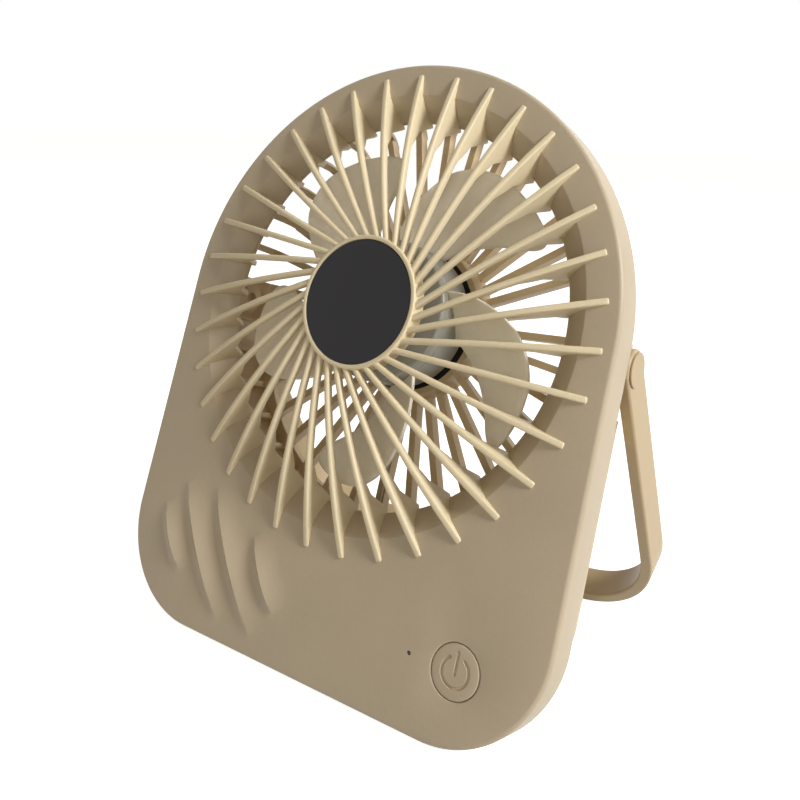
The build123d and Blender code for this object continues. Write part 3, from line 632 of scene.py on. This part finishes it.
ladder = Skin()
section = rounded_box((CHAMBER_INNER, -LADDER_HALF), (CHAMBER_SUNK, LADDER_HALF), LADDER_EDGE, 4)
for k in range(LADDER_ENDS[0], LADDER_ENDS[1] + 1):
    if k == LADDER_GAP:
        continue
    angle = radians(ladder_angle(k))
    run, out = np.array([cos(angle), sin(angle)]), np.array([-sin(angle), cos(angle)])
    flat = section[:, :1] * run + section[:, 1:] * out
    ladder.grid(capped([lift(flat, w) for w in np.linspace(LADDER_REAR, LADDER_FRONT, 4)]))
rows = []
for angle in np.radians(np.linspace(*(ladder_angle(k) for k in LADDER_ENDS), LADDER_RAIL_COUNT)):
    rows.append(np.c_[section[:, :1] * np.array([[cos(angle), sin(angle)]]), LADDER_FRONT + section[:, 1]])
ladder.grid(capped(rows))
# The ladder shares the rear casing's lightened, warmer material: painted bounce light.
chamber_ladder = ladder.piece("chamber_ladder", REAR_PAINTED_BOUNCE)
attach(chamber_ladder, "casing")

# Power button with its engraved sign

BUTTON_RADIUS = 6.97
BUTTON_EDGE = 0.45
BUTTON_FLANGE = 8.2
FLANGE_TOP = -2.3
FLANGE_REAR = -3.1
STEM_RADIUS = 2.0
STEM_REAR = -3.4
SIGN_DEPTH = -0.4
SIGN_RADIUS = 3.9
SIGN_OPENING = 34
SIGN_BAR = (-0.5, 4.9)
SIGN_HALF = 0.5
SIGN_FLOOR_HALF = 0.34


def stroke(line, half):
    """Outline of a round-ended stroke along a line of points."""
    run = directions(line)
    left = np.c_[-run[:, 1], run[:, 0]]
    ends = []
    for point, direction in ((line[-1], run[-1]), (line[0], -run[0])):
        first = atan2(direction[1], direction[0])
        turns = first + np.linspace(-pi / 2, pi / 2, 9)[1:-1]
        ends.append([point + half * np.array([cos(a), sin(a)]) for a in turns])
    return np.vstack([line - half * left, ends[0], (line + half * left)[::-1], ends[1]])


button = Skin()
sign_arc = np.array(arc(BUTTON, SIGN_RADIUS, 90 + SIGN_OPENING, 450 - SIGN_OPENING, 49))
sign_bar = np.array([(BUTTON[0], BUTTON[1] + v) for v in np.linspace(*SIGN_BAR, 9)])
outlines = [stroke(line, SIGN_HALF) for line in (sign_arc, sign_bar)]
floors = [stroke(line, SIGN_FLOOR_HALF) for line in (sign_arc, sign_bar)]
button.plate(circle(BUTTON_RADIUS - BUTTON_EDGE, BUTTON_COUNT, BUTTON), outlines, level(0.0))
for outline, floor in zip(outlines, floors):
    button.grid([lift(outline, 0), lift(floor, SIGN_DEPTH)])
    button.plate(floor, [], level(SIGN_DEPTH))
cap = arc((BUTTON_RADIUS - BUTTON_EDGE, -BUTTON_EDGE), BUTTON_EDGE, 90, 0, 5)
cap += [(BUTTON_RADIUS, FLANGE_TOP), (BUTTON_FLANGE, FLANGE_TOP), (BUTTON_FLANGE, FLANGE_REAR)]
cap += [(STEM_RADIUS, FLANGE_REAR), (STEM_RADIUS, STEM_REAR), (0, STEM_REAR)]
button.lathe(cap, BUTTON_COUNT, BUTTON)
button_cap = button.piece("button_cap", CASING)
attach(button_cap, "button")
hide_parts("power_button")

# Impeller: cup-shaped hub and five swept blades with rounded edges

BLADE_COUNT = 5
BLADE_ROOT = 20.4
BLADE_ROOT_HALF = 6.6
BLADE_TIP = 53.0
BLADE_SHOULDER = 48.0
BLADE_SHOULDER_HALF = 17.2
BLADE_CORNER = 8.4
BLADE_FIRST = 48.0
# Sweep in degrees for each millimetre inside the unswept radius
BLADE_SWEEP = 1.05
BLADE_UNSWEPT = 50.0
BLADE_MIDDLE = -10.75
BLADE_HALF = 0.8
# Slopes of the twisted blade at its root and just past its tip
BLADE_SLOPES = (np.tan(radians(33.0)), np.tan(radians(17.0)))
BLADE_TWIST_END = BLADE_TIP + 1.0
# Points inside the outline that carry the twist
FILL_HALF = 18.0
FILL_MARGIN = 1.5
FILL_CLEAR = 0.6
ROTOR = 21.5
ROTOR_FRONT = -3.5
ROTOR_REAR = -18.0
ROTOR_EDGE = 1.2
ROTOR_REAR_EDGE = 0.4
ROTOR_INNER = 19.3
ROTOR_WEB = -5.0
GROOVE = (-6.6, -6.75, -6.95, -7.1)
GROOVE_DEPTH = 0.25
BOSS_RADIUS = 3.2
BOSS_REAR = -8.2


def blade_outline():
    """The unswept blade's outline, anticlockwise from the lower root corner, with its outward normals."""
    bulge = BLADE_TIP - BLADE_SHOULDER
    tip_radius = (BLADE_SHOULDER_HALF**2 + bulge**2) / (2 * bulge)
    tip_centre = BLADE_TIP - tip_radius
    run = np.array([BLADE_SHOULDER - BLADE_ROOT, BLADE_ROOT_HALF - BLADE_SHOULDER_HALF])
    run /= np.linalg.norm(run)
    inward = np.array([-run[1], run[0]])
    edge_point = np.array([BLADE_ROOT, -BLADE_ROOT_HALF])
    low, high = 0.0, BLADE_TIP
    for _ in range(60):
        middle = (low + high) / 2
        centre = edge_point + run * middle + inward * BLADE_CORNER
        reach = np.hypot(centre[0] - tip_centre, centre[1])
        low, high = (middle, high) if reach < tip_radius - BLADE_CORNER else (low, middle)
    centre = edge_point + run * low + inward * BLADE_CORNER
    first = atan2(-inward[1], -inward[0])
    last = atan2(centre[1], centre[0] - tip_centre)
    corner_turns = np.linspace(first, last, 14, endpoint=False)
    half = [edge_point + run * low * t for t in np.linspace(0, 1, 16, endpoint=False)]
    half += [centre + BLADE_CORNER * np.array([cos(a), sin(a)]) for a in corner_turns]
    half += [np.array([tip_centre + tip_radius * cos(a), tip_radius * sin(a)]) for a in np.linspace(last, 0, 10)]
    half = np.array(half)
    other = half[:-1][::-1] * np.array([1, -1])
    loop = np.vstack([half, other])
    step = np.roll(loop, -1, axis=0) - np.roll(loop, 1, axis=0)
    step[0] = loop[1] - loop[0]
    step[-1] = loop[-1] - loop[-2]
    step /= np.linalg.norm(step, axis=1)[:, None]
    return loop, np.c_[step[:, 1], -step[:, 0]]


def blade_lift(flat, offset):
    """Height of the twisted blade over flat points, moved off its middle."""
    share = (flat[:, 0] - BLADE_ROOT) / (BLADE_TWIST_END - BLADE_ROOT)
    slope = BLADE_SLOPES[0] + share * (BLADE_SLOPES[1] - BLADE_SLOPES[0])
    return BLADE_MIDDLE + flat[:, 1] * slope + offset * np.sqrt(1 + slope**2)


petal, petal_out = blade_outline()
inner = petal - BLADE_HALF * petal_out
fill_along = np.linspace(BLADE_ROOT + FILL_MARGIN, BLADE_TIP - FILL_MARGIN, 18)
fill = np.array([(r, y) for r in fill_along for y in np.linspace(-FILL_HALF, FILL_HALF, 17)])
fill = fill[inside(fill, inner - FILL_CLEAR * petal_out)]
blade = Skin()
for side in (BLADE_HALF, -BLADE_HALF):
    blade.plate(inner, [], lambda flat: blade_lift(flat, side), fill)
rows = []
for inset, offset in arc((0, 0), BLADE_HALF, 90, -90, 7):
    flat = petal - (BLADE_HALF - inset) * petal_out
    rows.append(np.c_[flat, blade_lift(flat, offset)])
blade.grid(rows)
along, across, height = np.array(blade.points).T
sweep = BLADE_SWEEP * (BLADE_UNSWEPT - np.hypot(along, across))

impeller = Skin()
for k in range(BLADE_COUNT):
    turn = np.radians(BLADE_FIRST + k * 360 / BLADE_COUNT + sweep)
    u, v = along * np.cos(turn) - across * np.sin(turn), along * np.sin(turn) + across * np.cos(turn)
    first = len(impeller.points)
    impeller.points.extend(np.c_[u, v, height].tolist())
    impeller.faces.extend(tuple(i + first for i in f) for f in blade.faces)
# The blades' material is lightened: painted light in the grille's shade.
blades = impeller.piece("impeller_blades", BLADE_PAINTED_LIGHT)

cup = Skin()
groove_radii = (ROTOR, ROTOR - GROOVE_DEPTH, ROTOR - GROOVE_DEPTH, ROTOR)
cup_profile = [(0, ROTOR_FRONT), *arc((ROTOR - ROTOR_EDGE, ROTOR_FRONT - ROTOR_EDGE), ROTOR_EDGE, 90, 0, 7)]
cup_profile += zip(groove_radii, GROOVE)
cup_profile += arc((ROTOR - ROTOR_REAR_EDGE, ROTOR_REAR + ROTOR_REAR_EDGE), ROTOR_REAR_EDGE, 0, -90, 4)
cup_profile += [(ROTOR_INNER, ROTOR_REAR), (ROTOR_INNER, ROTOR_WEB)]
cup_profile += [(BOSS_RADIUS, ROTOR_WEB), (BOSS_RADIUS, BOSS_REAR), (0, BOSS_REAR)]
cup.lathe(cup_profile, HUB_COUNT)
rotor_cup = cup.piece("rotor_cup", HUB_GREY)
for piece in (blades, rotor_cup):
    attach(piece, "rotor")
    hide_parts("fan_impeller")

# Camera at the photograph's view

CAMERA_PLACE = Vector((0.149234, -0.211454, 0.157143))
CAMERA_RIGHT = Vector((0.83743, 0.54562, 0.03191))
CAMERA_DOWN = Vector((0.13586, -0.15126, -0.97911))
CAMERA_FORWARD = Vector((-0.52939, 0.82427, -0.2008))
camera_data = bpy.data.cameras.new("camera")
camera = bpy.data.objects.new("camera", camera_data)
bpy.context.scene.collection.objects.link(camera)
turn = Matrix((CAMERA_RIGHT, -CAMERA_DOWN, -CAMERA_FORWARD)).transposed()
camera.matrix_world = Matrix.Translation(CAMERA_PLACE) @ turn.to_4x4()
camera_data.sensor_width = 36.0
camera_data.lens = 38.84
camera_data.shift_x = -0.05
camera_data.shift_y = -0.125
camera_data.clip_start = 0.005
bpy.context.scene.camera = camera

# Floor, light and background

LIGHT_TARGET = (0, 0, 0.09)
FLOOR_HALF = 6
FLOOR_GREY = (0.6, 0.6, 0.6, 1)
FLOOR_GLOW = 0.9
WORLD_LIGHT = 0.22
WORLD_WARM = (1.0, 0.81, 0.56, 1)
WHITE = (1, 1, 1, 1)


def area_light(name, place, size, power, colour=(1.0, 1.0, 1.0)):
    """A round soft light that faces the object."""
    data = bpy.data.lights.new(name, "AREA")
    data.shape = "DISK"
    data.size = size
    data.energy = power
    data.color = colour
    made = bpy.data.objects.new(name, data)
    made.location = place
    made.rotation_euler = (Vector(LIGHT_TARGET) - Vector(place)).to_track_quat("-Z", "Y").to_euler()
    bpy.context.scene.collection.objects.link(made)


def background_seen(tree):
    """A socket that is one for rays that show the background: straight, in a reflection or through glass."""
    path = tree.nodes.new("ShaderNodeLightPath")
    seen = path.outputs["Is Camera Ray"]
    for kind in ("Is Glossy Ray", "Is Transmission Ray"):
        either = tree.nodes.new("ShaderNodeMath")
        either.operation = "MAXIMUM"
        tree.links.new(seen, either.inputs[0])
        tree.links.new(path.outputs[kind], either.inputs[1])
        seen = either.outputs[0]
    return seen


area_light("key", (1.19, -0.08, 0.88), 0.42, 20.0, (0.97, 0.98, 1.0))
area_light("front", (0.8, -1.3, 0.55), 0.6, 3.6)
area_light("back", (0.3, 1.2, 1.0), 0.9, 5.0)

floor_mesh = bpy.data.meshes.new("floor")
floor_corners = [(FLOOR_HALF * x, FLOOR_HALF * y, 0) for x, y in ((-1, -1), (1, -1), (1, 1), (-1, 1))]
floor_mesh.from_pydata(floor_corners, [], [(0, 1, 2, 3)])
floor = bpy.data.objects.new("floor", floor_mesh)
bpy.context.scene.collection.objects.link(floor)
floor_material = bpy.data.materials.new("floor_white")
floor_material.use_nodes = True
tree = floor_material.node_tree
tree.nodes.clear()
glow = node(tree, "ShaderNodeEmission", Color=WHITE)
tree.links.new(span(tree, background_seen(tree), 0.0, FLOOR_GLOW), glow.inputs["Strength"])
matt = node(tree, "ShaderNodeBsdfDiffuse", Color=FLOOR_GREY)
both = tree.nodes.new("ShaderNodeAddShader")
tree.links.new(glow.outputs[0], both.inputs[0])
tree.links.new(matt.outputs[0], both.inputs[1])
out = tree.nodes.new("ShaderNodeOutputMaterial")
tree.links.new(both.outputs[0], out.inputs["Surface"])
floor_mesh.materials.append(floor_material)

world = bpy.data.worlds.new("world")
bpy.context.scene.world = world
world.use_nodes = True
tree = world.node_tree
background = tree.nodes["Background"]
seen = background_seen(tree)
tree.links.new(span(tree, seen, WORLD_LIGHT, 1.0), background.inputs["Strength"])
tone = tree.nodes.new("ShaderNodeMix")
tone.data_type = "RGBA"
tone.inputs["A"].default_value = WORLD_WARM
tone.inputs["B"].default_value = WHITE
tree.links.new(seen, tone.inputs["Factor"])
tree.links.new(tone.outputs["Result"], background.inputs["Color"])
bpy.context.scene.view_settings.view_transform = "Standard"
